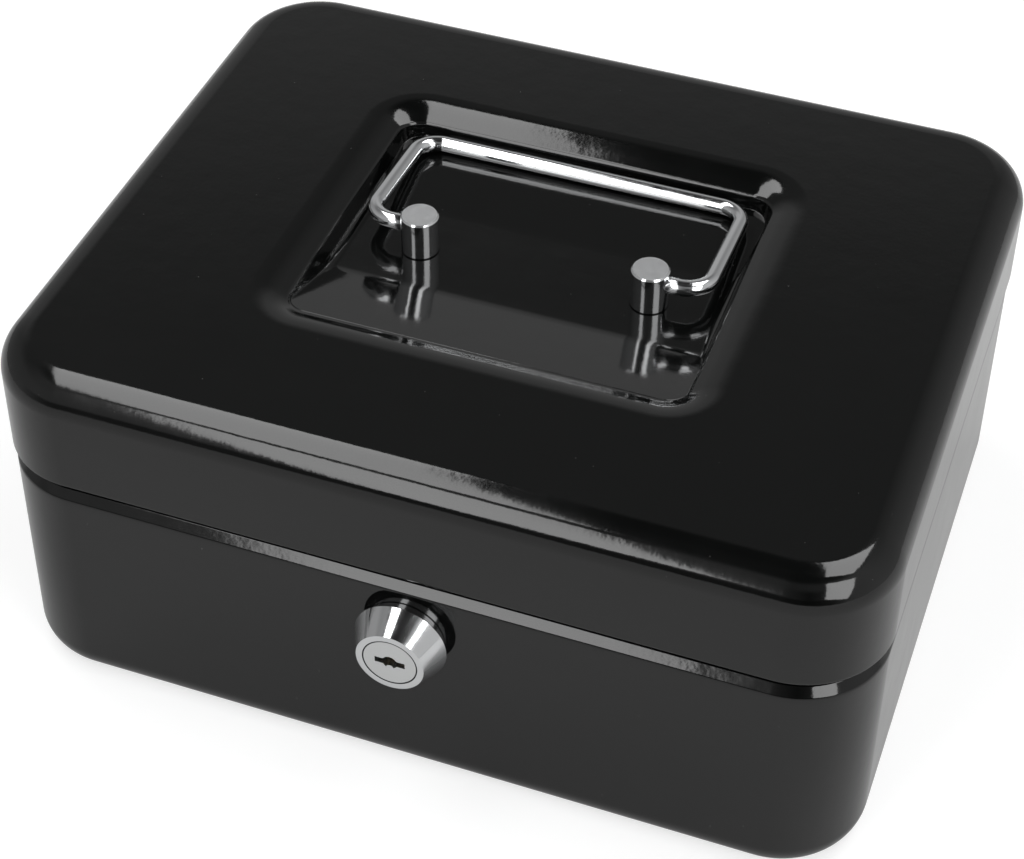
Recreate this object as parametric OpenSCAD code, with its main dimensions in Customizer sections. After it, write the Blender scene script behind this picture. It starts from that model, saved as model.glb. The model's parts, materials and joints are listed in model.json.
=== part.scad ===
// Cash box: a pressed-steel box with a hinged lid, a folding wire handle in a pressed pan,
// a cam lock in the front wall and a lift-out coin tray.
// Millimetres. X to the right, Y to the rear, Z up; origin at the middle of the base, on the ground.

/* [Box] */
// Width over the lid
box_w = 200; // [190:1:230]
// Depth over the lid
box_d = 162; // [156:1:190]
// Height to the top of the lid
box_h = 90; // [88:1:100]
// Depth of the lid, top face to lower edge
lid_h = 28.3; // [26:0.1:30]
// Radius of the upright corners of the lid
corner_r = 20.8; // [19.5:0.1:24]
// Thickness of the pressed sheet
sheet = 0.8; // [0.6:0.1:1]
// Radius round the top of the lid
lid_round = 8; // [6:0.5:9]
// Radius round the bottom of the body
base_round = 8; // [6:0.5:9]
// How far the body wall stands in from the lid's face
base_inset = 0.5; // [0.3:0.1:0.8]

/* [Shoulder and neck] */
// Radius of the rounded shoulder below the lid
shoulder_r = 3.2; // [2.8:0.1:3.4]
// Drop from the lid's edge to the top of the shoulder
shoulder_drop = 1.4; // [1:0.1:2]
// Step from the end of the shoulder round to the neck
neck_step = 0.6; // [0.5:0.1:0.8]
// Height of the neck above the shoulder
neck_h = 9.7; // [8:0.1:10]
// Height of the folded hems on the neck and the lid
hem_h = 3; // [2:0.5:4]

/* [Handle pan] */
// Width of the pan at the lid's top face
pan_w = 103; // [98:1:108]
// Depth of the pan at the lid's top face, front to rear
pan_d = 85.4; // [82:0.2:90]
// Middle of the pan, rearward of the middle of the lid
pan_y = 1.1; // [0:0.1:2]
// How deep the pan is pressed
pan_h = 8.3; // [8:0.1:8.6]
// Width of the pan's bevelled border
bevel_w = 5.3; // [4.8:0.1:5.6]
// Drop across the bevelled border
bevel_h = 2.7; // [2.2:0.1:3]
// From the pan's rim to the foot of its walls
pan_run = 6.6; // [6.2:0.1:7]
// Corner radius of the pan at the top face
pan_corner = 11; // [10:0.5:13]
// Radius between the pan floor and its walls
pan_floor_round = 2.5; // [2:0.1:3]
// Radius between the walls and the border
bevel_round = 1.2; // [1:0.1:1.6]
// Radius of the pan's rim
pan_rim_round = 4; // [2:0.5:4.5]
// Where the two ramps begin, from the middle of the lid
ramp_start = 13.6; // [13:0.1:14]
// Slope of the front ramp, degrees
front_slope = 14.4; // [12:0.1:14.6]
// Slope of the rear ramp, degrees
rear_slope = 5; // [3:0.5:5]

/* [Handle] */
// Spacing of the two posts
post_gap = 55; // [50:1:58]
// Post diameter
post_d = 8.8; // [8.6:0.1:9.6]
// Post height above the pan floor
post_h = 9.8; // [9.4:0.1:10.4]
// Posts stand this far forward of the middle of the lid
post_forward = 0.3; // [0:0.1:0.6]
// Wire diameter of the bail
wire_d = 3.8; // [3.4:0.1:4]
// Spacing of the bail legs, centre to centre
bail_w = 80.6; // [76:0.2:82]
// Length of the bail, pivot to the middle of the grip bar
bail_l = 34.4; // [32:0.2:34.6]
// Bend radius of the bail, to the middle of the wire
bail_bend = 6; // [5:0.5:8]
// Pivot height above the pan floor
pivot_h = 6.4; // [6.3:0.1:6.8]
// Gap between the lowered grip bar and the rear ramp
bar_gap = 0.3; // [0.2:0.05:0.5]

/* [Lock] */
// Height of the lock's middle above the ground
lock_z = 45; // [43:0.5:46]
// Collar diameter at its front face
collar_front_d = 15.4; // [15:0.1:16]
// Collar diameter at its rear rim
collar_rear_d = 21; // [19:0.5:22]
// How far the collar stands out from the wall
collar_h = 8.8; // [8:0.1:9.6]
// Diameter of the plug's visible face
plug_face_d = 12.4; // [12:0.1:12.6]
// Diameter of the barrel through the wall
barrel_d = 17; // [16:0.5:17.5]

/* [Hinges] */
// Distance of each hinge from the middle
hinge_x = 55; // [45:1:62]
// Length of each hinge
hinge_w = 34; // [30:1:40]
// Hinge pin diameter
hinge_pin_d = 2.4; // [2:0.1:2.8]
// Leaf thickness
leaf = 1.2; // [1:0.1:1.4]

/* [Coin tray] */
// Tray width
tray_w = 184; // [150:1:186]
// Depth of the tray, front to rear
tray_d = 128; // [110:1:130]
// Tray height
tray_h = 24; // [20:1:26]
// Tray wall
tray_wall = 1.6; // [1.2:0.1:2]

/* [Hidden] */
$fn = 72;
eps = 0.01;

// Colours
enamel = [0.06, 0.06, 0.06];
chrome = [0.82, 0.83, 0.85];
steel = [0.62, 0.63, 0.65];
brass = [0.78, 0.62, 0.3];
plastic = [0.12, 0.12, 0.13];

// Core rectangle that every wall is swept around
core_x = box_w / 2 - corner_r;
core_y = box_d / 2 - corner_r;
seam_z = box_h - lid_h;
wall_r = corner_r - base_inset;
wall_y = box_d / 2 - base_inset;
shoulder_z = seam_z - shoulder_drop;
ledge_r = wall_r - shoulder_r;
neck_r = ledge_r - neck_step;
neck_z = shoulder_z + neck_h;
tuck = 1;

// Pan
pan_floor = box_h - pan_h;
bevel_turn = atan(bevel_h / bevel_w);
wall_turn = atan((pan_h - bevel_h) / (pan_run - bevel_w));
over = 3;

// Handle
post_x = post_gap / 2;
post_y = -post_forward;
post_r = post_d / 2;
post_edge = 0.35;
pivot_z = pan_floor + pivot_h;
wire_r = wire_d / 2;
pivot_clear = pivot_h * cos(rear_slope) + (ramp_start + post_forward) * sin(rear_slope);
bail_drop = asin((pivot_clear - wire_r - bar_gap) / bail_l) - rear_slope;
run_gap = 0.06;
bail_in = 2.6;
bail_end_gap = 0.8;
bail_bore_in = 2.2;
post_screw_r = 2;
post_screw_in = 3.6;
post_screw_head = 2.4;
post_washer_r = 4.4;
post_washer_t = 0.8;
head_r = 3.6;
recess_r = 1.6;

// Lock, measured outward from the front wall
lock_washer_r = 10.6;
lock_washer_t = 2.1;
groove_r = 9.7;
groove_w = 0.6;
barrel_back = 9.5;
flat_half = 7.6;
fit_gap = 0.1;
plug_r = 5;
plug_gap = 0.06;
face_deep = 2;
face_gap = 0.07;
end_gap = 0.3;
plug_end = 10.3;
cam_t = 2;
tail = 3;
tail_gap = 0.05;
key_deep = 12.6;
key_w = 6.8;
key_t = 1.5;
key_hump = 1.7;
wafer_t = 0.8;
wafer_w = 2;
wafer_slot = 0.05;
wafer_s = [5.2, 3.4, 1.6, -0.2];
ward_r = 5.9;
ward_start = 2;
nut_t = 3;
nut_af = 22;
cam_hub = 7.5;
cam_r = 19;
stud_arc = 14;
stud_r = 1.5;
slot_half = 1.9;
cam_from = 162;
cam_close = 195;
cam_to = 214;
slot_over = 20;
cam_screw_r = 1.9;
cam_screw_in = 6;
cam_washer_t = 0.6;
cam_washer_r = 4.2;
cam_head_t = 2.2;

// Catch
catch_t = 1.2;
catch_w = 16;
catch_hang = 73.6;
catch_foot = 55.5;
catch_web = 75;
catch_wing = 66;
stud_head_r = 2.4;
stud_head_t = 0.7;
stud_out = 5;

// Hinge
hinge_y = box_d / 2 + 2.2;
hinge_z = seam_z - 1.7;
barrel_r = 2.4;
knuckle = 10;
knuckle_gap = 0.4;
base_leaf_top = 56.6;
lid_leaf_low = 63.2;
rivet_x = 9;
rivet_r = 1.5;
rivet_head_r = 2.4;
rivet_head_t = 0.9;
rivet_dome = 0.6;
base_rivet_z = 47.5;
lid_rivet_z = 71;
pin_head_t = 0.8;
pin_head_r = 1.9;

// Tray
rail_z = 44;
rail_l = 90;
rail_in = 10.7;
rail_drop = 12;
rail_t = 1;
tray_gap = 0.3;
tray_z = rail_z + tray_gap;
tray_front = -59;
tray_round = 6;
well_round = 11;
tray_mid = 8;
tray_lip = 1.2;
tray_rim = tray_wall + tray_lip;
divider = 2.4;
tray_lip_h = 2;

// A profile in distance-from-core and height, carried round the rounded rectangle hx by hy
module sweep(hx, hy) {
    for (a = [0, 180]) {
        rotate([0, 0, a]) translate([hx, hy, 0]) rotate_extrude(angle = 90) children();
        rotate([0, 0, a]) translate([-hx, hy, 0]) rotate([0, 0, 90]) rotate_extrude(angle = 90) children();
        rotate([0, 0, a]) translate([hx, hy, 0]) rotate([90, 0, 0]) linear_extrude(2 * hy) children();
        rotate([0, 0, a + 90]) translate([hy, hx, 0]) rotate([90, 0, 0]) linear_extrude(2 * hx) children();
    }
}

// A flat rounded plate reaching r outside the core rectangle
module plate(hx, hy, r, z, h) {
    translate([0, 0, z]) linear_extrude(h) {
        square([2 * (hx + r), 2 * hy], center = true);
        square([2 * hx, 2 * (hy + r)], center = true);
        for (sx = [-1, 1], sy = [-1, 1]) translate([sx * hx, sy * hy]) circle(r);
    }
}

// Quarter ring in the first quadrant of a profile
module quarter_ring(r_out, r_in) {
    difference() {
        intersection() {
            circle(r_out);
            square(r_out);
        }
        circle(r_in);
    }
}

// Wall that turns over into a flat panel at the top
module lid_profile() {
    mid = corner_r - lid_round;
    translate([mid, box_h - lid_round]) quarter_ring(lid_round, lid_round - sheet);
    translate([corner_r - sheet, seam_z + sheet]) square([sheet, lid_h - lid_round - sheet]);
    translate([mid - tuck, box_h - sheet]) square([tuck, sheet]);
    translate([corner_r - 2 * sheet, seam_z + sheet]) square([2 * sheet, hem_h]);
    translate([corner_r - sheet, seam_z + sheet]) circle(sheet);
}

// Bottom round, wall, shoulder round, ledge, neck and its hem
module base_profile() {
    mid = wall_r - base_round;
    turn = shoulder_z - shoulder_r;
    translate([mid, base_round]) mirror([0, 1]) quarter_ring(base_round, base_round - sheet);
    translate([mid - tuck, 0]) square([tuck, sheet]);
    translate([wall_r - sheet, base_round]) square([sheet, turn - base_round]);
    translate([ledge_r, turn]) quarter_ring(shoulder_r, shoulder_r - sheet);
    translate([neck_r - sheet, shoulder_z - sheet]) square([neck_step + sheet, sheet]);
    translate([neck_r - sheet, shoulder_z - sheet]) square([sheet, neck_h]);
    translate([neck_r - 2 * sheet, neck_z - sheet - hem_h]) square([2 * sheet, hem_h]);
    translate([neck_r - sheet, neck_z - sheet]) circle(sheet);
    difference() {
        translate([neck_r, shoulder_z]) square(neck_step);
        translate([neck_r + neck_step, shoulder_z + neck_step]) circle(neck_step);
    }
}

// Point on the bisector of a corner at p whose edges leave it at angles a and b
function inward(p, a, b, d) = p + d / sin((b - a) / 2) * [cos((a + b) / 2), sin((a + b) / 2)];

// Where a round of radius r leaves that corner's two edges
function round_ends(p, a, b, r) =
    [for (w = [a, b]) p + r / tan((b - a) / 2) * [cos(w), sin(w)]];

// What lies between the chord and the arc of that round
module round_bulge(p, a, b, r) {
    ends = round_ends(p, a, b, r);
    intersection() {
        translate(inward(p, a, b, r)) circle(r);
        polygon([ends[0], p, ends[1]]);
    }
}

// Hollow of the pan: floor, steep wall, bevelled border; grow = 0 for the hollow, sheet for its back
module pan_profile(grow) {
    up = wall_turn;
    down = 180 + wall_turn;
    out = 360 + bevel_turn;
    foot = inward([pan_corner - pan_run, pan_floor], up, 180, -grow);
    step = inward([pan_corner - bevel_w, box_h - bevel_h], down, out, grow);
    rim = inward([pan_corner, box_h], out - 180, 360, grow);
    foot_r = pan_floor_round + grow;
    step_r = bevel_round - grow;
    rim_r = pan_rim_round - grow;
    foot_ends = round_ends(foot, up, 180, foot_r);
    rim_ends = round_ends(rim, out - 180, 360, rim_r);
    top = pan_top(grow);
    difference() {
        union() {
            polygon(concat([[0, foot[1]], foot_ends[1], foot_ends[0]], round_ends(step, down, out, step_r),
                rim_ends, [[rim_ends[1][0], top], [0, top]]));
            round_bulge(foot, up, 180, foot_r);
        }
        round_bulge(step, down, out, step_r);
        round_bulge(rim, out - 180, 360, rim_r);
    }
}

// The hollow is cut up through the lid's face; its back ends inside the sheet
function pan_top(grow) = grow == 0 ? box_h + tuck : box_h - sheet / 2;

// Everything below one ramp: side -1 is the front one, side 1 the rear one
module below_ramp(side, slope, grow) {
    translate([-box_w / 2, side * ramp_start - pan_y, pan_floor - grow / cos(slope)])
        rotate([side * slope, 0, 0]) translate([0, (side - 1) * box_d / 4, -pan_h])
            cube([box_w, box_d / 2, pan_h]);
}

module pan_block(grow) {
    hx = pan_w / 2 - pan_corner;
    hy = pan_d / 2 - pan_corner;
    translate([0, pan_y, 0]) difference() {
        union() {
            sweep(hx, hy) pan_profile(grow);
            translate([-hx, -hy, pan_floor - grow])
                cube([2 * hx, 2 * hy, pan_top(grow) - pan_floor + grow]);
        }
        below_ramp(-1, front_slope, grow);
        below_ramp(1, rear_slope, grow);
    }
}

module rivet_holes(z, y) {
    for (sx = [-1, 1], dx = [-rivet_x, rivet_x])
        translate([sx * hinge_x + dx, y, z]) rotate([90, 0, 0])
            cylinder(r = rivet_r, h = over * 2, center = true);
}

module lid_shell() {
    color(enamel) difference() {
        union() {
            sweep(core_x, core_y) lid_profile();
            plate(core_x, core_y, corner_r - lid_round, box_h - sheet, sheet);
            pan_block(sheet);
        }
        pan_block(0);
        for (s = [-1, 1]) translate([s * post_x, post_y, pan_floor])
            cylinder(r = post_screw_r, h = over * 2, center = true);
        rivet_holes(lid_rivet_z, box_d / 2 - sheet / 2);
    }
}

module barrel_section(gap) {
    intersection() {
        circle(barrel_d / 2 + gap);
        square([barrel_d + 2 * gap + tuck, 2 * (flat_half + gap)], center = true);
    }
}

// Put a lock part on the front wall; its own +Z points out of the box
module on_front() {
    translate([0, -wall_y, lock_z]) rotate([90, 0, 0]) children();
}

module base_shell() {
    color(enamel) difference() {
        union() {
            sweep(core_x, core_y) base_profile();
            plate(core_x, core_y, wall_r - base_round, 0, sheet);
        }
        on_front() translate([0, 0, -over]) linear_extrude(over * 2) barrel_section(fit_gap);
        rivet_holes(base_rivet_z, wall_y - sheet / 2);
    }
}

// Angle rail welded inside the side wall; side = -1 left, 1 right
module tray_rail(side) {
    inner = core_x + wall_r - sheet;
    color(enamel) translate([side > 0 ? inner - rail_in : -inner, -rail_l / 2, rail_z - rail_t])
        cube([rail_in, rail_l, rail_t]);
    color(enamel) translate([side > 0 ? inner - rail_t : -inner, -rail_l / 2, rail_z - rail_drop])
        cube([rail_t, rail_l, rail_drop]);
}

module tray_rail_left() {
    union() tray_rail(-1);
}

module tray_rail_right() {
    union() tray_rail(1);
}

module lock_washer() {
    color(chrome) on_front() difference() {
        cylinder(r = lock_washer_r, h = lock_washer_t);
        translate([0, 0, -tuck]) cylinder(r = barrel_d / 2 + fit_gap, h = lock_washer_t + 2 * tuck);
    }
}

module lock_housing() {
    cone_s = lock_washer_t + groove_w;
    face_s = collar_h - face_deep;
    ward_s = ward_start - barrel_back;
    color(chrome) on_front() difference() {
        union() {
            translate([0, 0, -barrel_back]) linear_extrude(barrel_back + cone_s) barrel_section(0);
            translate([0, 0, lock_washer_t]) cylinder(r = groove_r, h = groove_w);
            translate([0, 0, cone_s])
                cylinder(r1 = collar_rear_d / 2, r2 = collar_front_d / 2, h = collar_h - cone_s);
        }
        translate([0, 0, -barrel_back - tuck]) cylinder(r = plug_r + plug_gap, h = barrel_back + collar_h);
        translate([0, 0, face_s]) cylinder(r = plug_face_d / 2 + face_gap, h = face_deep + tuck);
        translate([-ward_r, -wafer_w - fit_gap, ward_s])
            cube([2 * ward_r, 2 * (wafer_w + fit_gap), face_s - ward_start - ward_s]);
    }
}

module lock_nut() {
    color(steel) on_front() translate([0, 0, -sheet - nut_t]) difference() {
        cylinder(d = nut_af / cos(30), h = nut_t, $fn = 6);
        translate([0, 0, -tuck]) cylinder(r = barrel_d / 2 + fit_gap, h = nut_t + 2 * tuck);
    }
}

// Outline of the key: two flat ends with a hump between them
module keyway(gap) {
    difference() {
        union() {
            square([key_w + 2 * gap, key_t + 2 * gap], center = true);
            circle(key_hump + gap);
        }
        translate([0, -key_hump]) circle(key_hump / 2 - gap);
    }
}

module wafer_block(gap) {
    for (s = wafer_s) translate([-plug_r, -wafer_w - gap, s - wafer_t / 2 - gap])
        cube([2 * plug_r, 2 * (wafer_w + gap), wafer_t + 2 * gap]);
}

module lock_plug() {
    face_s = collar_h - face_deep + end_gap;
    color(chrome) on_front() difference() {
        union() {
            translate([0, 0, -plug_end]) cylinder(r = plug_r, h = plug_end + face_s + tuck / 2);
            translate([0, 0, face_s]) cylinder(r = plug_face_d / 2, h = collar_h - face_s - tail_gap);
            translate([-tail, -tail, -plug_end - cam_t + tail_gap]) cube([2 * tail, 2 * tail, cam_t + tuck]);
        }
        translate([0, 0, collar_h - key_deep]) linear_extrude(key_deep + tuck) keyway(0);
        wafer_block(wafer_slot);
        translate([0, 0, -plug_end - cam_t - tuck])
            cylinder(r = cam_screw_r + tail_gap, h = cam_screw_in + tuck);
    }
}

module lock_wafers() {
    color(brass) on_front() difference() {
        intersection() {
            wafer_block(0);
            translate([0, 0, -plug_r]) cylinder(r = plug_r - wafer_slot, h = 3 * plug_r);
        }
        translate([0, 0, -plug_r]) linear_extrude(3 * plug_r)
            square([key_w + 2 * end_gap, 2 * key_t], center = true);
    }
}

// Angles are those of the unlocked cam, seen from the front
module lock_cam() {
    wedge = 2 * cam_r;
    mouth = cam_from - slot_over;
    inside = cam_close - slot_over / 2;
    color(steel) on_front() translate([0, 0, -plug_end - cam_t]) linear_extrude(cam_t) difference() {
        union() {
            circle(cam_hub);
            intersection() {
                circle(cam_r);
                polygon([[0, 0], wedge * [cos(cam_from), sin(cam_from)],
                    wedge * [cos(cam_close), sin(cam_close)], wedge * [cos(cam_to), sin(cam_to)]]);
            }
        }
        intersection() {
            difference() {
                circle(stud_arc + slot_half);
                circle(stud_arc - slot_half);
            }
            polygon([[0, 0], wedge * [cos(mouth), sin(mouth)],
                wedge * [cos(inside), sin(inside)], wedge * [cos(cam_close), sin(cam_close)]]);
        }
        translate(stud_arc * [cos(cam_close), sin(cam_close)]) circle(slot_half);
        square(2 * (tail + tail_gap), center = true);
    }
}

module cam_washer() {
    color(steel) on_front() translate([0, 0, -plug_end - cam_t - cam_washer_t]) difference() {
        cylinder(r = cam_washer_r, h = cam_washer_t);
        translate([0, 0, -tuck]) cylinder(r = cam_screw_r + fit_gap, h = cam_washer_t + 2 * tuck);
    }
}

module cam_screw() {
    back = plug_end + cam_t + cam_washer_t;
    color(steel) on_front() difference() {
        union() {
            translate([0, 0, -back - cam_head_t]) cylinder(r = head_r, h = cam_head_t);
            translate([0, 0, -back - eps]) cylinder(r = cam_screw_r, h = cam_screw_in - cam_washer_t);
        }
        translate([0, 0, -back - cam_head_t - tuck])
            cylinder(r = recess_r, h = tuck + cam_head_t / 2, $fn = 6);
    }
}

// Leaf with its barrels; sections are the stretches of barrel that belong to it
module hinge_leaf(x, y, low, top, z_joint, sections) {
    color(chrome) translate([x, 0, 0]) difference() {
        union() {
            translate([-hinge_w / 2, y, low]) cube([hinge_w, leaf, top - low]);
            for (s = sections) {
                translate([s[0], hinge_y, hinge_z]) rotate([0, 90, 0])
                    cylinder(r = barrel_r, h = s[1] - s[0]);
                translate([s[0], y, min(hinge_z, z_joint)])
                    cube([s[1] - s[0], leaf, abs(hinge_z - z_joint) + eps]);
                translate([s[0], hinge_y - barrel_r, min(hinge_z, hinge_z + (top > hinge_z ? 0 : -barrel_r))])
                    cube([s[1] - s[0], barrel_r, barrel_r / 2]);
            }
        }
        translate([0, hinge_y, hinge_z]) rotate([0, 90, 0])
            cylinder(r = hinge_pin_d / 2 + run_gap, h = hinge_w + tuck, center = true);
        for (dx = [-rivet_x, rivet_x]) translate([dx, y, (low + top) / 2]) rotate([90, 0, 0])
            cylinder(r = rivet_r, h = 2 * over, center = true);
    }
}

module base_leaf(x) {
    half = hinge_w / 2;
    hinge_leaf(x, wall_y, 2 * base_rivet_z - base_leaf_top, base_leaf_top, base_leaf_top,
        [[-half, -half + knuckle], [half - knuckle, half]]);
}

module lid_leaf(x) {
    half = hinge_w / 2 - knuckle - knuckle_gap;
    hinge_leaf(x, box_d / 2, lid_leaf_low, 2 * lid_rivet_z - lid_leaf_low, lid_leaf_low, [[-half, half]]);
}

module hinge_leaf_base_left() {
    base_leaf(-hinge_x);
}

module hinge_leaf_base_right() {
    base_leaf(hinge_x);
}

module hinge_leaf_lid_left() {
    lid_leaf(-hinge_x);
}

module hinge_leaf_lid_right() {
    lid_leaf(hinge_x);
}

module hinge_pin(x) {
    color(steel) translate([x, hinge_y, hinge_z]) rotate([0, 90, 0]) {
        cylinder(r = hinge_pin_d / 2, h = hinge_w, center = true);
        for (s = [-1, 1]) translate([0, 0, s * (hinge_w + pin_head_t) / 2])
            cylinder(r = pin_head_r, h = pin_head_t, center = true);
    }
}

module hinge_pin_left() {
    hinge_pin(-hinge_x);
}

module hinge_pin_right() {
    hinge_pin(hinge_x);
}

// Rivets with a head outside the leaf and one inside the wall
module rivets(z, out_y) {
    stack = leaf + sheet;
    color(steel) for (sx = [-1, 1], dx = [-rivet_x, rivet_x])
        translate([sx * hinge_x + dx, out_y + leaf, z]) rotate([90, 0, 0]) {
            translate([0, 0, -rivet_head_t])
                cylinder(r1 = rivet_head_r - rivet_dome, r2 = rivet_head_r, h = rivet_head_t);
            translate([0, 0, -eps]) cylinder(r = rivet_r, h = stack + 2 * eps);
            translate([0, 0, stack]) cylinder(r = rivet_head_r, h = rivet_head_t / 2);
        }
}

module base_hinge_rivets() {
    rivets(base_rivet_z, wall_y);
}

module lid_hinge_rivets() {
    rivets(lid_rivet_z, box_d / 2);
}

// Bracket welded inside the lid's front; it reaches over the neck and hangs down in front of the cam
module lid_catch() {
    inner = box_d / 2 - sheet;
    color(steel) difference() {
        translate([-catch_w / 2, 0, 0]) rotate([90, 0, 90]) linear_extrude(catch_w) polygon([
            [-inner, catch_wing], [-inner + catch_t, catch_wing], [-inner + catch_t, catch_web - catch_t],
            [-catch_hang, catch_web - catch_t], [-catch_hang, catch_foot],
            [-catch_hang + catch_t, catch_foot], [-catch_hang + catch_t, catch_web], [-inner, catch_web]]);
        translate([0, -catch_hang, lock_z + stud_arc]) rotate([90, 0, 0])
            cylinder(r = stud_r, h = 2 * over, center = true);
    }
}

module catch_stud() {
    color(steel) translate([0, -catch_hang, lock_z + stud_arc]) rotate([-90, 0, 0]) {
        cylinder(r = stud_r, h = catch_t + stud_out);
        translate([0, 0, -stud_head_t]) cylinder(r = stud_head_r, h = stud_head_t);
        translate([0, 0, catch_t]) cylinder(r = stud_head_r, h = stud_head_t);
    }
}

module handle_post(side) {
    color(chrome) translate([side * post_x, post_y, pan_floor]) difference() {
        union() {
            cylinder(r = post_r, h = post_h - post_edge);
            translate([0, 0, post_h - post_edge])
                cylinder(r1 = post_r, r2 = post_r - post_edge, h = post_edge);
        }
        translate([0, 0, -tuck]) cylinder(r = post_screw_r, h = post_screw_in + tuck);
        translate([-side * bail_bore_in, 0, pivot_h]) rotate([0, side * 90, 0])
            cylinder(r = wire_r + run_gap, h = post_d);
    }
}

module handle_post_left() {
    handle_post(-1);
}

module handle_post_right() {
    handle_post(1);
}

module post_washers() {
    under = pan_floor - sheet - post_washer_t;
    color(steel) for (s = [-1, 1]) translate([s * post_x, post_y, under]) difference() {
        cylinder(r = post_washer_r, h = post_washer_t);
        translate([0, 0, -tuck]) cylinder(r = post_screw_r + fit_gap, h = post_washer_t + 2 * tuck);
    }
}

module post_screws() {
    seat = sheet + post_washer_t;
    color(steel) for (s = [-1, 1]) translate([s * post_x, post_y, pan_floor - seat]) difference() {
        union() {
            translate([0, 0, -post_screw_head]) cylinder(r = head_r, h = post_screw_head);
            translate([0, 0, -eps]) cylinder(r = post_screw_r, h = seat + post_screw_in - fit_gap);
        }
        translate([0, 0, -post_screw_head - tuck])
            cylinder(r = recess_r, h = tuck + post_screw_head / 2, $fn = 6);
    }
}

// Wire bail, drawn flat and turned down about the pivot to lie over the rear ramp
module handle_bail() {
    half = bail_w / 2;
    inner = post_x - bail_in + bail_end_gap;
    color(chrome) translate([0, post_y, pivot_z]) rotate([-bail_drop, 0, 0]) for (s = [-1, 1]) {
        translate([s * inner, 0, 0]) rotate([0, s * 90, 0])
            cylinder(r = wire_r, h = half - bail_bend - inner);
        translate([s * (half - bail_bend), bail_bend, 0]) rotate([0, 0, s > 0 ? -90 : 180])
            rotate_extrude(angle = 90) translate([bail_bend, 0]) circle(wire_r);
        translate([s * half, bail_bend, 0]) rotate([-90, 0, 0])
            cylinder(r = wire_r, h = bail_l - 2 * bail_bend);
        translate([s * (half - bail_bend), bail_l - bail_bend, 0]) rotate([0, 0, s > 0 ? 0 : 90])
            rotate_extrude(angle = 90) translate([bail_bend, 0]) circle(wire_r);
        translate([0, bail_l, 0]) rotate([0, s * 90, 0]) cylinder(r = wire_r, h = half - bail_bend);
    }
}

// One well: a box with rounded lower edges front and rear
module well(x, y, w, d) {
    deep = tray_h - tray_wall;
    translate([x, y, tray_wall]) rotate([90, 0, 90]) linear_extrude(w) {
        translate([0, well_round]) square([d, deep - well_round + tuck]);
        translate([well_round, 0]) square([d - 2 * well_round, deep]);
        for (c = [well_round, d - well_round]) translate([c, well_round]) circle(well_round);
    }
}

module coin_tray() {
    half = tray_w / 2;
    well_w = (tray_w - 2 * tray_rim - 3 * divider) / 4;
    note_w = (tray_w - 2 * tray_rim - divider) / 2;
    front_d = tray_mid - tray_front - tray_rim - divider / 2;
    rear_y = tray_rim + front_d + divider;
    rear_d = tray_d - rear_y - tray_rim;
    hx = half - tray_round;
    hy = tray_d / 2 - tray_round;
    color(plastic) translate([0, tray_front, tray_z]) difference() {
        translate([0, tray_d / 2, 0]) {
            plate(hx, hy, tray_round - tray_lip, 0, tray_h);
            plate(hx, hy, tray_round, tray_h - tray_lip_h, tray_lip_h);
        }
        for (i = [0:3]) well(tray_rim - half + i * (well_w + divider), tray_rim, well_w, front_d);
        for (i = [0, 1]) well(tray_rim - half + i * (note_w + divider), rear_y, note_w, rear_d);
    }
}

base_shell();
tray_rail_left();
tray_rail_right();
lock_washer();
lock_housing();
lock_nut();
lock_plug();
lock_wafers();
lock_cam();
cam_washer();
cam_screw();
hinge_leaf_base_left();
hinge_leaf_base_right();
hinge_pin_left();
hinge_pin_right();
base_hinge_rivets();
lid_shell();
lid_catch();
catch_stud();
hinge_leaf_lid_left();
hinge_leaf_lid_right();
lid_hinge_rivets();
handle_post_left();
handle_post_right();
post_screws();
post_washers();
handle_bail();
coin_tray();
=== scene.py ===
"""Cash box: looks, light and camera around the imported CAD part. Lengths in the tables are in mm."""

import json
import math

import bpy
import numpy as np
from mathutils import Matrix, Vector

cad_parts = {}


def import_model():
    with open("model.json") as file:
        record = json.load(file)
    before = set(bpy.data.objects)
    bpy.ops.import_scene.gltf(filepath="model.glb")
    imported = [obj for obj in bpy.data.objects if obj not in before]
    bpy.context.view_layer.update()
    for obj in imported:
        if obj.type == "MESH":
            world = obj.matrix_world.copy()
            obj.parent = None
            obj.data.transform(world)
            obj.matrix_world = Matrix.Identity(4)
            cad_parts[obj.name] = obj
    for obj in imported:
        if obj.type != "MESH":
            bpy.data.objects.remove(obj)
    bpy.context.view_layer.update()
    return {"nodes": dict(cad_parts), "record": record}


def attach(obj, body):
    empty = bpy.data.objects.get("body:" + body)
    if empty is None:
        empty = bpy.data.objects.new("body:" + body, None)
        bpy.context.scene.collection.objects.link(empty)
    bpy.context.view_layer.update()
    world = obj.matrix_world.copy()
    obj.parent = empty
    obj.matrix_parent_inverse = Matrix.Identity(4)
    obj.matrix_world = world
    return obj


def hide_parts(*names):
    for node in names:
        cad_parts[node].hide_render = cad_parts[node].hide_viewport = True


MM = 0.001

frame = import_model()
NODES = frame["nodes"]


# ---------------------------------------------------------------- sheet-metal forms

# Box
HALF_X, HALF_Y, HEIGHT = 100.0, 81.0, 90.0
CORNER_R = 20.8
CORE = (HALF_X - CORNER_R, HALF_Y - CORNER_R)
SHEET = 0.8
LID_ROUND = 8.0
SEAM_Z = 61.7
HEM_H = 3.0

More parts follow.
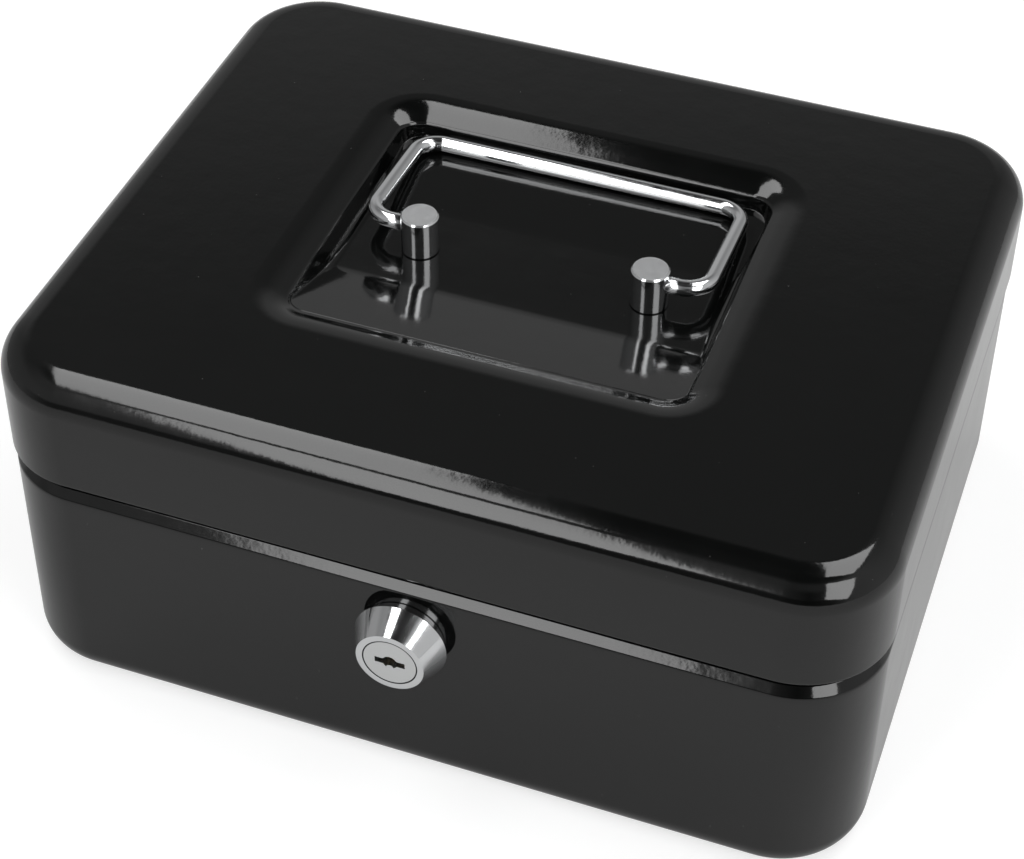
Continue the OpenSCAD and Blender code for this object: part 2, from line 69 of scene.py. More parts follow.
# Pan
PAN_HALF = (51.5, 42.7)
PAN_Y = 1.1
PAN_R = 11.0
PAN_FLOOR = HEIGHT - 8.3
PAN_CORE = (PAN_HALF[0] - PAN_R, PAN_HALF[1] - PAN_R)
PAN_SECTION = [(-60, PAN_FLOOR), (PAN_R - 6.6, PAN_FLOOR), (PAN_R - 5.3, HEIGHT - 2.7), (PAN_R, HEIGHT), (60, HEIGHT)]
PAN_ROUNDS = (2.5, 1.4, 14.0)  # at the foot, at the bevel and at the rim
RAMP_START = 13.6
RAMP_TOP = 7.3
FRONT_SLOPE = math.tan(math.radians(14.4))
REAR_SLOPE = math.tan(math.radians(5))
CREASE = 1.3
MITRE = 0.4  # softness of the line where a ramp meets the pan's wall

# Base
WALL_R = 20.3
BASE_ROUND = 8.0
SHOULDER_R = 3.2
SHOULDER_Z = 59.4
SHOULDER_PATH = [(WALL_R, 30), (WALL_R, 57.1), (18.77, SHOULDER_Z), (15, SHOULDER_Z)]
SHOULDER_ROUNDS = (1.3, 0.3)
HEM_ROUND = 0.3
LEDGE_ROUND = 0.6
NECK_R = 16.5
NECK_STEP = 0.6
NECK_Z = 70.0

# Bail
BAIL_HALF = 40.3
BAIL_LENGTH = 34.4
BAIL_BEND = 6.0
BAIL_END = 25.7
WIRE_R = 1.9
BAIL_TILT = math.radians(-4.01)
BAIL_PIVOT_Y = -0.3
BAIL_PIVOT_Z = PAN_FLOOR + 6.4

# Lock
WALL_Y = -80.5
LOCK_Z = 45.0
PLUG_R = 6.2
WASHER_SECTION = [(8.55, 0.0), (8.9, 0.0), (9.1, 0.2), (9.1, 1.7), (8.9, 1.9), (8.55, 2.0)]


def arc(cx, cz, r, a0, a1, n):
    """Points and outward normals of an arc from angle a0 to a1, in degrees. A negative r turns the normals inward."""
    a = np.radians(np.linspace(a0, a1, n))
    s = math.copysign(1, r)
    return np.stack([cx + abs(r) * np.cos(a), cz + abs(r) * np.sin(a), s * np.cos(a), s * np.sin(a)], 1)


def line(r0, z0, r1, z1, n, normal):
    """Points along a straight run, with one normal."""
    t = np.linspace(0, 1, n)[:, None]
    p = (1 - t) * [r0, z0] + t * [r1, z1]
    return np.hstack([p, np.tile(np.array(normal, float), (n, 1))])


def rounded(points, radii, n):
    """A polyline with its inner corners rounded by tangent arcs."""
    out = [np.array(points[0], float)]
    for before, corner, after, r in zip(points, points[1:], points[2:], radii):
        p = np.array(corner, float)
        u = np.array(before, float) - p
        w = np.array(after, float) - p
        u /= np.linalg.norm(u)
        w /= np.linalg.norm(w)
        half = math.acos(np.dot(u, w)) / 2
        middle = (u + w) / np.linalg.norm(u + w)
        centre = p + middle * r / math.sin(half)
        start = p + u * r / math.tan(half) - centre
        end = p + w * r / math.tan(half) - centre
        a0 = math.atan2(start[1], start[0])
        turn = math.atan2(start[0] * end[1] - start[1] * end[0], np.dot(start, end))
        for a in np.linspace(a0, a0 + turn, n):
            out.append(centre + r * np.array([math.cos(a), math.sin(a)]))
    out.append(np.array(points[-1], float))
    return np.array(out)


def bent(points, radii, n):
    """A rounded polyline as a section, with the normals on its right-hand side."""
    p = rounded(points, radii, n)[1:-1]
    t = np.gradient(p, axis=0)
    t /= np.linalg.norm(t, axis=1)[:, None]
    return np.column_stack([p, t[:, 1], -t[:, 0]])


PAN_PATH = rounded(PAN_SECTION, PAN_ROUNDS, 60)
PAN_STEEPNESS = np.gradient(PAN_PATH[:, 1], PAN_PATH[:, 0])


def ramp(t):
    """Zero before the crease and t after it, with a short curve between."""
    return np.where(t > CREASE, t, np.where(t < -CREASE, 0, (t + CREASE) ** 2 / (4 * CREASE)))


def step(t):
    """Smooth step from 0 to 1."""
    t = np.clip(t, 0, 1)
    return t * t * (3 - 2 * t)


def pan_height(x, y):
    """Height of the lid's face over (x, y), the pan and its ramps included."""
    dx = np.abs(x) - PAN_CORE[0]
    dy = np.abs(y - PAN_Y) - PAN_CORE[1]
    r = np.where((dx > 0) & (dy > 0), np.hypot(dx, dy), np.maximum(dx, dy))
    wall = np.interp(r, PAN_PATH[:, 0], PAN_PATH[:, 1]) - PAN_FLOOR
    steep = np.interp(r, PAN_PATH[:, 0], PAN_STEEPNESS)
    floor = np.minimum(FRONT_SLOPE * ramp(-RAMP_START - y) + REAR_SLOPE * ramp(y - RAMP_START), RAMP_TOP)
    soft = MITRE * np.maximum(steep, 0.35) * step(wall / 0.5) * step(floor / 0.5) + 1e-9
    h = np.maximum(soft - np.abs(wall - floor), 0) / soft
    return PAN_FLOOR + np.maximum(wall, floor) + h * h * soft / 4


def pan_normal(x, y):
    """Unit normals of the lid's face, from small differences of its height."""
    d = 0.004
    gx = (pan_height(x + d, y) - pan_height(x - d, y)) / (2 * d)
    gy = (pan_height(x, y + d) - pan_height(x, y - d)) / (2 * d)
    n = np.stack([-gx, -gy, np.ones_like(gx)], 1)
    return n / np.linalg.norm(n, axis=1)[:, None]


def spaced(low, high, gap, marks=(), reach=1.2, fine=0.2):
    """Stations from low to high, closer together about each mark."""
    edges = [low]
    for m in marks:
        edges += [m - reach, m + reach]
    edges.append(high)
    out = []
    for k, (a, b) in enumerate(zip(edges, edges[1:])):
        n = max(1, round((b - a) / (fine if k % 2 else gap)))
        out += list(np.linspace(a, b, n, endpoint=False))
    return np.array(out + [high])


PAN_FRONT, PAN_BACK = PAN_Y - PAN_CORE[1], PAN_Y + PAN_CORE[1]
SIDE_X = spaced(-1, 1, 3.0 / PAN_CORE[0])
SIDE_Y = (spaced(PAN_FRONT, PAN_BACK, 2.4, (-RAMP_START, RAMP_START)) - PAN_Y) / PAN_CORE[1]
CORNER_STEPS = 24


def stations():
    """Anticlockwise round the rectangle: each station's core point, as shares of the half sizes, and its direction."""
    out = []
    for (sx, sy), a0 in (((1, 1), 0), ((-1, 1), 90), ((-1, -1), 180), ((1, -1), 270)):
        for k in range(CORNER_STEPS + 1):
            out.append((sx, sy, a0 + 90 * k / CORNER_STEPS))
        if sy > 0 and sx > 0:
            out += [(f, 1, 90) for f in SIDE_X[::-1][1:-1]]
        elif sy > 0:
            out += [(-1, f, 180) for f in SIDE_Y[::-1][1:-1]]
        elif sx < 0:
            out += [(f, -1, 270) for f in SIDE_X[1:-1]]
        else:
            out += [(1, f, 0) for f in SIDE_Y[1:-1]]
    a = np.array(out, float)
    ang = np.radians(a[:, 2])
    return a[:, :2], np.stack([np.cos(ang), np.sin(ang)], 1)


AT, OUT = stations()
COUNT = len(AT)


class Skin:
    """Loops of vertices round the box, joined one to the next, with a normal for each vertex."""

    def __init__(self):
        self.points, self.normals, self.faces, self.last = [], [], [], None
        self.size = 0

    def add(self, points, normals):
        first = self.size
        self.points.append(points)
        self.normals.append(normals)
        self.size += len(points)
        return np.arange(first, self.size)

    def loop(self, points, normals):
        now = self.add(points, normals)
        if self.last is not None:
            self.bridge(self.last, now)
        self.last = now

    def bridge(self, a, b):
        for i in range(COUNT):
            j = (i + 1) % COUNT
            quad = []
            for v in (a[i], a[j], b[j], b[i]):
                if v not in quad:
                    quad.append(int(v))
            if len(quad) > 2:
                self.faces.append(quad)

    def sweep(self, core, section, centre=0.0):
        """Carry a section of (r, z, normal r, normal z) round the core rectangle."""
        for r, z, nr, nz in section:
            p = AT * core + OUT * r
            points = np.column_stack([p[:, 0], p[:, 1] + centre, np.full(COUNT, z)])
            self.loop(points, np.column_stack([OUT * nr, np.full(COUNT, nz)]))

    def patch(self, core, centre, surface):
        """Fill the core rectangle with a grid; returns the rim as a loop that matches the stations."""
        xs, ys = SIDE_X * core[0], SIDE_Y * core[1] + centre
        gx, gy = np.meshgrid(xs, ys)
        ids = self.add(*surface(gx.ravel(), gy.ravel())).reshape(gx.shape)
        for j in range(len(ys) - 1):
            for i in range(len(xs) - 1):
                quad = (ids[j, i], ids[j, i + 1], ids[j + 1, i + 1], ids[j + 1, i])
                self.faces.append([int(v) for v in quad])
        ix = np.argmin(np.abs(AT[:, :1] - SIDE_X[None]), 1)
        iy = np.argmin(np.abs(AT[:, 1:] - SIDE_Y[None]), 1)
        return ids[iy, ix]

    def build(self, name, material):
        """Make the object, with every face turned to its vertices' normals."""
        points = np.vstack(self.points)
        normals = np.vstack(self.normals)
        normals = normals / np.linalg.norm(normals, axis=1)[:, None]
        faces = []
        for f in self.faces:
            p = points[f]
            facing = np.cross(p[1] - p[0], p[2] - p[0])
            if np.linalg.norm(facing) < 1e-12:
                facing = np.cross(p[2] - p[0], p[-1] - p[0])
            faces.append(f if np.dot(facing, normals[f].sum(0)) >= 0 else f[::-1])
        mesh = bpy.data.meshes.new(name)
        mesh.from_pydata((points * MM).tolist(), [], faces)
        mesh.validate()
        mesh.polygons.foreach_set("use_smooth", [True] * len(mesh.polygons))
        mesh.materials.append(material)
        mesh.normals_split_custom_set_from_vertices(normals.tolist())
        obj = bpy.data.objects.new(name, mesh)
        bpy.context.scene.collection.objects.link(obj)
        return obj


def over_face(x, y):
    return np.column_stack([x, y, pan_height(x, y)]), pan_normal(x, y)


def under_face(x, y):
    points, normals = over_face(x, y)
    return points - SHEET * normals, -normals


PAN_LOOPS = np.concatenate([
    [0.5, 1.2, 1.8], np.linspace(2.2, 4.3, 10), np.linspace(4.45, 5.9, 22),
    np.linspace(6.05, 7.0, 8), np.linspace(7.3, 7.7, 3), np.linspace(7.9, 14.6, 32)])
FACE_BLEND = np.linspace(0, 1, 7)[1:]


def face_loops(skin, surface):
    """The pan and the flat face out to the start of the lid's round."""
    skin.last = skin.patch(PAN_CORE, PAN_Y, surface)
    for r in PAN_LOOPS:
        p = AT * PAN_CORE + OUT * r + [0, PAN_Y]
        skin.loop(*surface(p[:, 0], p[:, 1]))
    inner = AT * PAN_CORE + OUT * PAN_LOOPS[-1] + [0, PAN_Y]
    outer = AT * CORE + OUT * (CORNER_R - LID_ROUND)
    for t in FACE_BLEND:
        p = (1 - t) * inner + t * outer
        skin.loop(*surface(p[:, 0], p[:, 1]))


def lid_mesh(material):
    """The lid's face, round and wall, its hem, and the same forms one sheet thickness inside."""
    skin = Skin()
    mid = CORNER_R - LID_ROUND
    turn = HEIGHT - LID_ROUND
    hem = SEAM_Z + SHEET
    face_loops(skin, over_face)
    skin.sweep(CORE, arc(mid, turn, LID_ROUND, 90, 0, 36)[1:])
    skin.sweep(CORE, line(CORNER_R, turn, CORNER_R, hem, 12, (1, 0))[1:])
    inside = CORNER_R - SHEET
    fold = inside - SHEET
    hem_end = hem + HEM_H
    skin.sweep(CORE, arc(inside, hem, SHEET, 0, -180, 18)[1:])
    skin.sweep(CORE, line(fold, hem, fold, hem_end - HEM_ROUND, 3, (-1, 0))[1:])
    skin.sweep(CORE, arc(fold + HEM_ROUND, hem_end - HEM_ROUND, HEM_ROUND, 180, 90, 5)[1:])
    skin.sweep(CORE, line(inside, hem_end, inside, hem_end, 1, (-0.7, 0.7)))
    skin.sweep(CORE, line(inside, hem_end + 0.2, inside, turn, 6, (-1, 0)))
    skin.sweep(CORE, arc(mid, turn, -(LID_ROUND - SHEET), 0, 90, 18)[1:])
    last = skin.last
    skin.last = None
    under = Skin()
    face_loops(under, under_face)
    shift = skin.size
    skin.points += under.points
    skin.normals += under.normals
    skin.faces += [[v + shift for v in f] for f in under.faces]
    skin.size += under.size
    skin.bridge(last, under.last + shift)
    return skin.build("lid_panel", material)


def flat(z, up):
    """A level surface for Skin.patch, facing up (1) or down (-1)."""
    def surface(x, y):
        n = len(x)
        return np.column_stack([x, y, np.full(n, z)]), np.tile([0.0, 0.0, up], (n, 1))
    return surface


def base_mesh(material):
    """The base's bottom, wall, shoulder and hemmed neck, and the same forms one sheet thickness inside."""
    skin = Skin()
    mid = WALL_R - BASE_ROUND
    turn = SHOULDER_Z - SHOULDER_R
    ledge = WALL_R - SHOULDER_R
    neck_in = NECK_R - SHEET
    top = NECK_Z - SHEET
    skin.last = skin.patch(CORE, 0, flat(0, -1))
    skin.sweep(CORE, line(mid / 2, 0, mid, 0, 2, (0, -1)))
    skin.sweep(CORE, arc(mid, BASE_ROUND, BASE_ROUND, -90, 0, 20)[1:])
    skin.sweep(CORE, line(WALL_R, BASE_ROUND, WALL_R, turn - 1, 16, (1, 0))[1:])
    skin.sweep(CORE, bent(SHOULDER_PATH, SHOULDER_ROUNDS, 10))
    skin.sweep(CORE, arc(NECK_R + NECK_STEP, SHOULDER_Z + NECK_STEP, -NECK_STEP, 270, 180, 8)[1:])
    skin.sweep(CORE, line(NECK_R, SHOULDER_Z + NECK_STEP, NECK_R, top, 6, (1, 0))[1:])
    skin.sweep(CORE, arc(neck_in, top, SHEET, 0, 180, 16)[1:])
    fold = neck_in - SHEET
    hem_end = top - HEM_H
    foot = SHOULDER_Z - SHEET + LEDGE_ROUND
    skin.sweep(CORE, line(fold, top, fold, hem_end + HEM_ROUND, 3, (-1, 0))[1:])
    skin.sweep(CORE, arc(fold + HEM_ROUND, hem_end + HEM_ROUND, HEM_ROUND, 180, 270, 5)[1:])
    skin.sweep(CORE, line(neck_in, hem_end, neck_in, hem_end, 1, (-0.7, -0.7)))
    skin.sweep(CORE, line(neck_in, hem_end - 0.2, neck_in, foot, 3, (-1, 0)))
    skin.sweep(CORE, arc(neck_in + LEDGE_ROUND, foot, LEDGE_ROUND, 180, 270, 6)[1:])
    skin.sweep(CORE, arc(ledge, turn, -(SHOULDER_R - SHEET), 90, 0, 12))
    skin.sweep(CORE, line(WALL_R - SHEET, turn, WALL_R - SHEET, BASE_ROUND, 8, (-1, 0))[1:])
    skin.sweep(CORE, arc(mid, BASE_ROUND, -(BASE_ROUND - SHEET), 0, -90, 14)[1:])
    skin.sweep(CORE, line(mid / 2, SHEET, mid / 2, SHEET, 1, (0, 1)))
    skin.bridge(skin.last, skin.patch(CORE, 0, flat(SHEET, 1)))
    return skin.build("base_panel", material)


# ---------------------------------------------------------------- wire and turned parts

def mesh_object(name, points, faces, material, smooth=True):
    mesh = bpy.data.meshes.new(name)
    mesh.from_pydata([tuple(p) for p in points], [], faces)
    mesh.validate()
    mesh.polygons.foreach_set("use_smooth", [smooth] * len(mesh.polygons))
    mesh.materials.append(material)
    obj = bpy.data.objects.new(name, mesh)
    bpy.context.scene.collection.objects.link(obj)
    return obj


def bail_path(steps=18):
    """Centre line of the bail in its own plane, from one end in its post to the other."""
    side, far = BAIL_HALF - BAIL_BEND, BAIL_LENGTH - BAIL_BEND
    pts = [(-BAIL_END, 0.0)]
    bends = ((-side, BAIL_BEND, 270, 180), (-side, far, 180, 90), (side, far, 90, 0), (side, BAIL_BEND, 0, -90))
    for cx, cy, a0, a1 in bends:
        for a in np.radians(np.linspace(a0, a1, steps)):
            pts.append((cx + BAIL_BEND * math.cos(a), cy + BAIL_BEND * math.sin(a)))
    pts.append((BAIL_END, 0.0))
    return np.array(pts)


def bail_mesh(material, sides=40):
    """The bail's wire, tilted about its pivot to lie on the rear ramp."""
    path = bail_path()
    tangent = np.gradient(path, axis=0)
    tangent[0], tangent[-1] = path[1] - path[0], path[-1] - path[-2]
    tangent /= np.linalg.norm(tangent, axis=1)[:, None]
    rings = []
    a = np.linspace(0, 2 * math.pi, sides, endpoint=False)
    for (px, py), (tx, ty) in zip(path, tangent):
        across = WIRE_R * np.cos(a)
        rings.append(np.column_stack([px + ty * across, py - tx * across, WIRE_R * np.sin(a)]))
    points = np.vstack(rings)
    y, z = points[:, 1].copy(), points[:, 2].copy()
    points[:, 1] = y * math.cos(BAIL_TILT) - z * math.sin(BAIL_TILT) + BAIL_PIVOT_Y
    points[:, 2] = y * math.sin(BAIL_TILT) + z * math.cos(BAIL_TILT) + BAIL_PIVOT_Z
    faces = []
    for k in range(len(path) - 1):
        for i in range(sides):
            j = (i + 1) % sides
            faces.append([k * sides + i, k * sides + j, (k + 1) * sides + j, (k + 1) * sides + i])
    faces.append(list(range(sides))[::-1])
    faces.append([(len(path) - 1) * sides + i for i in range(sides)])
    return mesh_object("bail_wire", points * MM, faces, material)


def ring(name, profile, material, sides=96):
    """A solid of revolution about the lock's axis, from a closed section of (radius, distance out from the wall)."""
    points = []
    for k in range(sides):
        a = 2 * math.pi * k / sides
        for r, out in profile:
            points.append((r * math.cos(a) * MM, (WALL_Y - out) * MM, (LOCK_Z + r * math.sin(a)) * MM))
    n = len(profile)
    faces = []
    for k in range(sides):
        here, following = k * n, (k + 1) % sides * n
        for i in range(n):
            j = (i + 1) % n
            faces.append([here + i, here + j, following + j, following + i])
    obj = mesh_object(name, points, faces, material)
    obj.data.set_sharp_from_angle(angle=math.radians(30))
    return obj


# ---------------------------------------------------------------- materials

BRIGHT_PLATE = (0.78, 0.79, 0.8)
# Painted shade: the dark colour put in narrow gaps where shadow falls, at the posts' feet and round the lock plug.
PAINTED_GAP_SHADE = (0.02, 0.02, 0.02)


def new_material(name):
    m = bpy.data.materials.new(name)
    m.use_nodes = True
    nodes = m.node_tree.nodes
    return m, nodes, m.node_tree.links, nodes["Principled BSDF"]


def noise(nodes, links, coords, scale, detail):
    n = nodes.new("ShaderNodeTexNoise")
    n.inputs["Scale"].default_value = scale
    n.inputs["Detail"].default_value = detail
    links.new(coords, n.inputs["Vector"])
    return n.outputs["Fac"]


def spread(nodes, links, value, low, high, start=0.3, end=0.7):
    """A value's range from start to end, spread over low to high."""
    n = nodes.new("ShaderNodeMapRange")
    n.inputs["From Min"].default_value = start
    n.inputs["From Max"].default_value = end
    n.inputs["To Min"].default_value = low
    n.inputs["To Max"].default_value = high
    links.new(value, n.inputs["Value"])
    return n.outputs["Result"]


def bump(nodes, links, height, distance, below=None):
    """A bump of a depth in metres, over another one if given."""
    n = nodes.new("ShaderNodeBump")
    n.inputs["Distance"].default_value = distance
    n.inputs["Strength"].default_value = 1.0
    links.new(height, n.inputs["Height"])
    if below is not None:
        links.new(below, n.inputs["Normal"])
    return n.outputs["Normal"]


def math_node(nodes, links, operation, a, b):
    """A Math node's result; each input is a number or another node's output."""
    n = nodes.new("ShaderNodeMath")
    n.operation = operation
    for socket, value in zip(n.inputs, (a, b)):
        if isinstance(value, float):
            socket.default_value = value
        else:
            links.new(value, socket)
    return n.outputs[0]


def axes(nodes, links, vector):
    """The X, Y and Z of a vector."""
    n = nodes.new("ShaderNodeSeparateXYZ")
    links.new(vector, n.inputs[0])
    return n.outputs["X"], n.outputs["Y"], n.outputs["Z"]


def blend(nodes, links, factor, a, b):
    """A colour between a, where the factor is 0, and b, where it is 1."""
    n = nodes.new("ShaderNodeMix")
    n.data_type = "RGBA"
    links.new(factor, n.inputs["Factor"])
    n.inputs["A"].default_value = (*a, 1)
    n.inputs["B"].default_value = (*b, 1)
    return n.outputs["Result"]


def enamel():
    """Gloss black stoved enamel: orange peel at two scales and a little settled dust."""
    m, nodes, links, shader = new_material("black_enamel")
    coords = nodes.new("ShaderNodeTexCoord").outputs["Object"]
    shader.inputs["IOR"].default_value = 1.5
    links.new(spread(nodes, links, noise(nodes, links, coords, 60, 3), 0.07, 0.11), shader.inputs["Roughness"])
    dust = spread(nodes, links, noise(nodes, links, coords, 900, 1), 0, 1, 0.80, 0.83)
    colour = blend(nodes, links, dust, (0.0022, 0.0024, 0.0023), (0.05, 0.05, 0.048))
    links.new(colour, shader.inputs["Base Color"])
    waves = bump(nodes, links, noise(nodes, links, coords, 150, 1), 0.00003)
    peel = bump(nodes, links, noise(nodes, links, coords, 900, 1), 0.000008, waves)
    links.new(peel, shader.inputs["Normal"])
    return m


def metal(name, color, rough, grain_scale=2500, grain=0.000002):
    """Bare or plated metal with uneven polish and a fine grain."""
    m, nodes, links, shader = new_material(name)
    coords = nodes.new("ShaderNodeTexCoord").outputs["Object"]
    shader.inputs["Metallic"].default_value = 1.0
    shader.inputs["Base Color"].default_value = (*color, 1)
    worn = spread(nodes, links, noise(nodes, links, coords, 300, 4), rough * 0.7, rough * 1.4)
    links.new(worn, shader.inputs["Roughness"])
    links.new(bump(nodes, links, noise(nodes, links, coords, grain_scale, 2), grain), shader.inputs["Normal"])
    return m


def plastic():
    """The tray's black moulded plastic, with a fine matt grain."""
    m, nodes, links, shader = new_material("tray_plastic")
    coords = nodes.new("ShaderNodeTexCoord").outputs["Object"]
    shader.inputs["Base Color"].default_value = (0.03, 0.03, 0.032, 1)
    links.new(spread(nodes, links, noise(nodes, links, coords, 200, 4), 0.42, 0.55), shader.inputs["Roughness"])
    links.new(bump(nodes, links, noise(nodes, links, coords, 2200, 3), 0.00002), shader.inputs["Normal"])
    return m


def post_chrome():
    """Plated posts: fine-turned tops, bright sides and a painted shade band at the foot, standing in for the shadow in
    the gap where it meets the enamel.
    """
    m, nodes, links, shader = new_material("post_chrome")
    coords = nodes.new("ShaderNodeTexCoord").outputs["Object"]
    height = axes(nodes, links, coords)[2]
    facing_up = axes(nodes, links, nodes.new("ShaderNodeTexCoord").outputs["Normal"])[2]
    shader.inputs["Metallic"].default_value = 1.0
    # Painted shade: a dark band at the foot in place of the shadow in the gap at the enamel.
    foot = spread(nodes, links, height, 0, 1, (PAN_FLOOR + 0.25) * MM, (PAN_FLOOR + 0.4) * MM)
    links.new(blend(nodes, links, foot, PAINTED_GAP_SHADE, BRIGHT_PLATE), shader.inputs["Base Color"])
    worn = spread(nodes, links, noise(nodes, links, coords, 700, 4), 0.10, 0.16)
    satin = spread(nodes, links, facing_up, 0, 0.2, 0.9, 0.95)
    links.new(math_node(nodes, links, "ADD", worn, satin), shader.inputs["Roughness"])
    links.new(bump(nodes, links, noise(nodes, links, coords, 3000, 2), 0.000002), shader.inputs["Normal"])
    return m


def plug_chrome():
    """The plug: satin face, and a painted shade ring round its rim for the shadow in the gap where it runs in the
    collar.
    """
    m, nodes, links, shader = new_material("plug_chrome")
    coords = nodes.new("ShaderNodeTexCoord").outputs["Object"]
    x, _, z = axes(nodes, links, coords)
    rise = math_node(nodes, links, "SUBTRACT", z, LOCK_Z * MM)
    square = math_node(nodes, links, "ADD", math_node(nodes, links, "MULTIPLY", rise, rise),
                       math_node(nodes, links, "MULTIPLY", x, x))
    radius = math_node(nodes, links, "SQRT", square, 0.0)
    # Painted shade: a dark ring at the plug's rim in place of the shadow in its gap in the collar.
    collar_gap_shade = spread(nodes, links, radius, 0, 1, (PLUG_R - 0.3) * MM, (PLUG_R - 0.2) * MM)
    links.new(blend(nodes, links, collar_gap_shade, (0.74, 0.75, 0.75), PAINTED_GAP_SHADE), shader.inputs["Base Color"])
    shader.inputs["Metallic"].default_value = 1.0
    links.new(spread(nodes, links, noise(nodes, links, coords, 1200, 4), 0.14, 0.24), shader.inputs["Roughness"])
    links.new(bump(nodes, links, noise(nodes, links, coords, 2500, 2), 0.000004), shader.inputs["Normal"])
    return m


ENAMEL = enamel()
CHROME = metal("chrome", BRIGHT_PLATE, 0.1)
POST = post_chrome()
PLUG = plug_chrome()
ZINC = metal("zinc_steel", (0.55, 0.56, 0.58), 0.28, 900, 0.00001)
BRASS = metal("brass", (0.7, 0.52, 0.25), 0.25)
TRAY = plastic()
SLOTS = {"black_enamel": ENAMEL, "black_hinge": ENAMEL, "chrome": CHROME, "zinc_steel": ZINC, "brass": BRASS,
         "tray_plastic": TRAY}
for part in frame["record"]["subparts"]:
    node = NODES[part["node"]]
    node.data.materials.clear()
    node.data.materials.append(SLOTS[part["material_slot"]])
for name in ("handle_post_left", "handle_post_right"):
    NODES[name].data.materials[0] = POST
NODES["lock_plug"].data.materials[0] = PLUG

lid = lid_mesh(ENAMEL)
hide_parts("lid_shell")
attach(lid, "lid")

base = base_mesh(ENAMEL)
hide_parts("base_shell")
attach(base, "base")

washer = ring("washer_ring", WASHER_SECTION, CHROME)
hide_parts("lock_washer")
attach(washer, "base")

bail = bail_mesh(CHROME)
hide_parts("handle_bail")
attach(bail, "bail")


# ---------------------------------------------------------------- floor, light and camera

FLOOR_R = 0.8
LAMP_RADIANCE = 5


def floor():
    """A pale disc that shows white to the camera, keeps the shadow and is a little brighter behind in reflections."""
    m, nodes, links, shader = new_material("floor_white")
    coords = nodes.new("ShaderNodeTexCoord").outputs["Object"]
    shader.inputs["Base Color"].default_value = (0.45, 0.45, 0.45, 1)
    links.new(spread(nodes, links, noise(nodes, links, coords, 30, 3), 0.75, 0.9), shader.inputs["Roughness"])
    shader.inputs["Specular IOR Level"].default_value = 0.0
    path = nodes.new("ShaderNodeLightPath")
    seen = math_node(nodes, links, "MULTIPLY", path.outputs["Is Camera Ray"], 0.65)
    brighter_behind = spread(nodes, links, axes(nodes, links, coords)[1], 0.09, 0.21, -0.1, -0.02)
    mirrored = math_node(nodes, links, "MULTIPLY", path.outputs["Is Glossy Ray"], brighter_behind)
    glow = nodes.new("ShaderNodeEmission")
    links.new(math_node(nodes, links, "ADD", seen, mirrored), glow.inputs["Strength"])
    add = nodes.new("ShaderNodeAddShader")
    links.new(shader.outputs[0], add.inputs[0])
    links.new(glow.outputs[0], add.inputs[1])
    links.new(add.outputs[0], nodes["Material Output"].inputs["Surface"])
    angles = np.linspace(0, 2 * math.pi, 96, endpoint=False)
    points = [(FLOOR_R * math.cos(a), FLOOR_R * math.sin(a), 0) for a in angles]
    obj = mesh_object("floor", points, [list(range(len(points)))], m, smooth=False)


# The grey room that the reflections see, as (degrees, level). LOW and HIGH go round it, 0 behind the box and 90 to its
# right; the rest go from straight down, -90, to straight up.
LOW = [(-180, 0.15), (-165, 0.35), (-130, 0.4), (-60, 0.25), (-45, 0.38), (-10, 0.42), (12, 0.25), (84, 0.54),
       (122, 0.46), (136, 0.16), (160, 0.03), (180, 0.15)]
HIGH = [(-180, 0.19), (-150, 0.35), (-120, 0.34), (-75, 0.17), (0, 0.15), (84, 0.54), (130, 0.42), (140, 0.2),
        (180, 0.17)]
CLIMB = [(-90, 0), (30, 0), (40, 1), (90, 1)]
TOP = [(-90, 1), (51, 1), (55, 0.6), (60, 0.15), (66, 0.08), (90, 0.08)]
HORIZON = [(-90, 0), (-8, 0), (-4, 1), (7, 1), (11, 0), (90, 0)]


def band(nodes, links, value, low, high, stops):
    """A grey level read from stops over the range of a value."""
    n = nodes.new("ShaderNodeValToRGB")
    elements = n.color_ramp.elements
    while len(elements) < len(stops):
        elements.new(0.5)
    for element, (at, level) in zip(elements, stops):
        element.position = (at - low) / (high - low)
    for element, (at, level) in zip(elements, stops):
        element.color = (level, level, level, 1)
    links.new(spread(nodes, links, value, 0, 1, low, high), n.inputs[0])
    return n.outputs[0]


def by_sine(stops):
    """Stops over an elevation in degrees, as stops over its sine."""
    return [(math.sin(math.radians(el)), level) for el, level in stops]


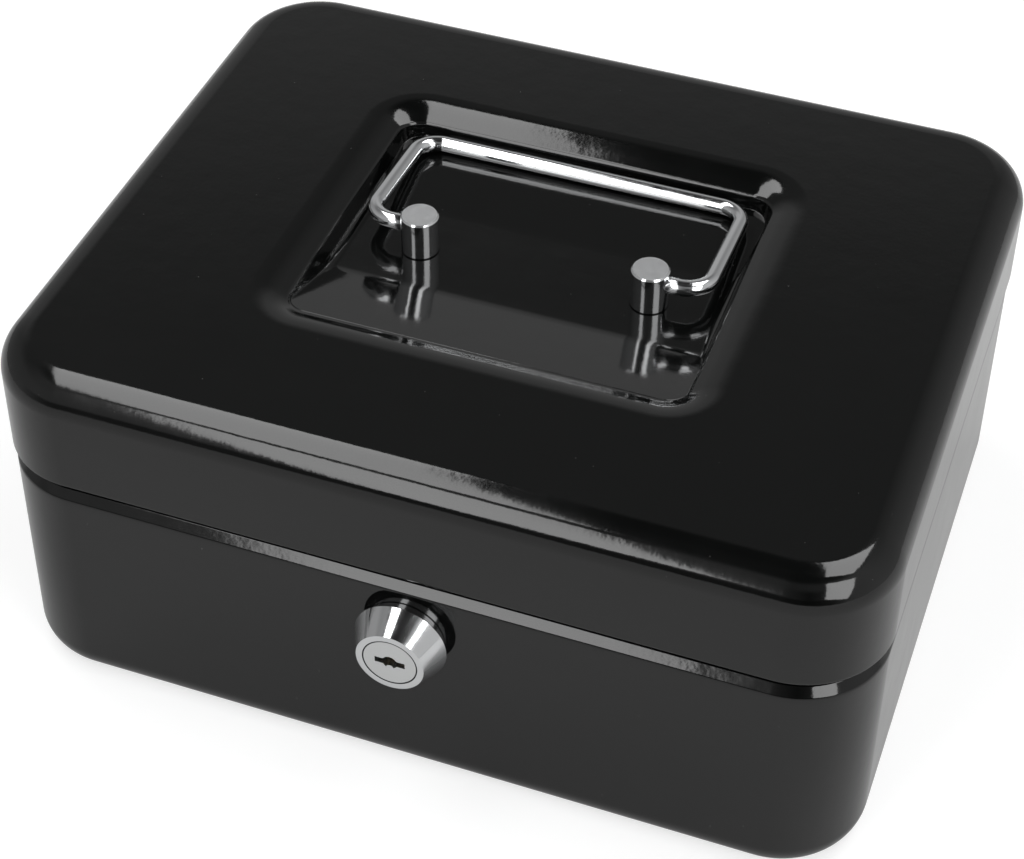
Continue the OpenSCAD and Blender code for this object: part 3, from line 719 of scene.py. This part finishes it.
def world():
    """A grey room for reflections, even soft light for the rest, and white behind."""
    w = bpy.data.worlds.new("studio")
    bpy.context.scene.world = w
    w.use_nodes = True
    nodes, links = w.node_tree.nodes, w.node_tree.links
    x, y, height = axes(nodes, links, nodes.new("ShaderNodeTexCoord").outputs["Generated"])
    azimuth = math_node(nodes, links, "DEGREES", math_node(nodes, links, "ARCTAN2", x, y), 0.0)
    walls = nodes.new("ShaderNodeMix")
    links.new(band(nodes, links, height, -1, 1, by_sine(CLIMB)), walls.inputs["Factor"])
    links.new(band(nodes, links, azimuth, -180, 180, LOW), walls.inputs["A"])
    links.new(band(nodes, links, azimuth, -180, 180, HIGH), walls.inputs["B"])
    ahead = spread(nodes, links, y, 0.75, 0, -0.9, -0.4)
    dim = math_node(nodes, links, "MULTIPLY", ahead, band(nodes, links, height, -1, 1, by_sine(HORIZON)))
    kept = math_node(nodes, links, "SUBTRACT", 1.0, dim)
    lit = math_node(nodes, links, "MULTIPLY", walls.outputs["Result"], kept)
    room = math_node(nodes, links, "MULTIPLY", lit, band(nodes, links, height, -1, 1, by_sine(TOP)))
    path = nodes.new("ShaderNodeLightPath")
    level = nodes.new("ShaderNodeMix")
    links.new(path.outputs["Is Glossy Ray"], level.inputs["Factor"])
    level.inputs["A"].default_value = 0.12
    links.new(room, level.inputs["B"])
    white = nodes.new("ShaderNodeMix")
    links.new(path.outputs["Is Camera Ray"], white.inputs["Factor"])
    links.new(level.outputs["Result"], white.inputs["A"])
    white.inputs["B"].default_value = 1.0
    links.new(white.outputs["Result"], nodes["Background"].inputs["Strength"])
    nodes["Background"].inputs["Color"].default_value = (1, 1, 1, 1)


def softbox(name, centre, across, along, size):
    """A rectangular area lamp with its sides along two directions, shining against their cross product."""
    x = Vector(across).normalized()
    z = x.cross(Vector(along)).normalized()
    y = z.cross(x)
    data = bpy.data.lights.new(name, "AREA")
    data.shape = "RECTANGLE"
    data.size, data.size_y = size
    data.energy = LAMP_RADIANCE * math.pi * size[0] * size[1]
    lamp = bpy.data.objects.new(name, data)
    lamp.matrix_world = Matrix.Translation(Vector(centre)) @ Matrix((x, y, z)).transposed().to_4x4()
    lamp.visible_camera = False
    bpy.context.scene.collection.objects.link(lamp)
    return lamp


def camera():
    """The photograph's camera, solved from the box's outline."""
    data = bpy.data.cameras.new("camera")
    data.sensor_width = 36
    data.lens = 85.59
    data.shift_y = -0.146
    data.clip_start = 0.01
    obj = bpy.data.objects.new("camera", data)
    right = Vector((0.94038, 0.34002, 0.00810))
    up = Vector((-0.22383, 0.60078, 0.76744))
    forward = Vector((-0.25608, 0.72350, -0.64107))
    turn = Matrix((right, up, -forward)).transposed()
    obj.matrix_world = Matrix.Translation(Vector((0.13728, -0.40251, 0.43509))) @ turn.to_4x4()
    bpy.context.scene.collection.objects.link(obj)
    bpy.context.scene.camera = obj


floor()
world()
camera()
softbox("softbox_left", (-0.428, -0.045, 1.09), (0.9965, 0.083, 0), (-0.083, 0.9965, 0), (0.365, 1.2))
softbox("softbox_right", (0.42, 0.26, 1.09), (-0.908, -0.42, 0), (0.42, -0.908, 0), (0.45, 0.85))
softbox("softbox_front", (-0.46, -1.57, 0.96), (0.578, -0.577, 0.577), (-0.075, 0.666, 0.742), (0.56, 1.419))
softbox("softbox_corner", (0.924, -0.701, 0.673), (0.488, 0.765, -0.421), (-0.227, 0.577, 0.785), (0.577, 1.019))
bpy.context.scene.view_settings.view_transform = "Standard"
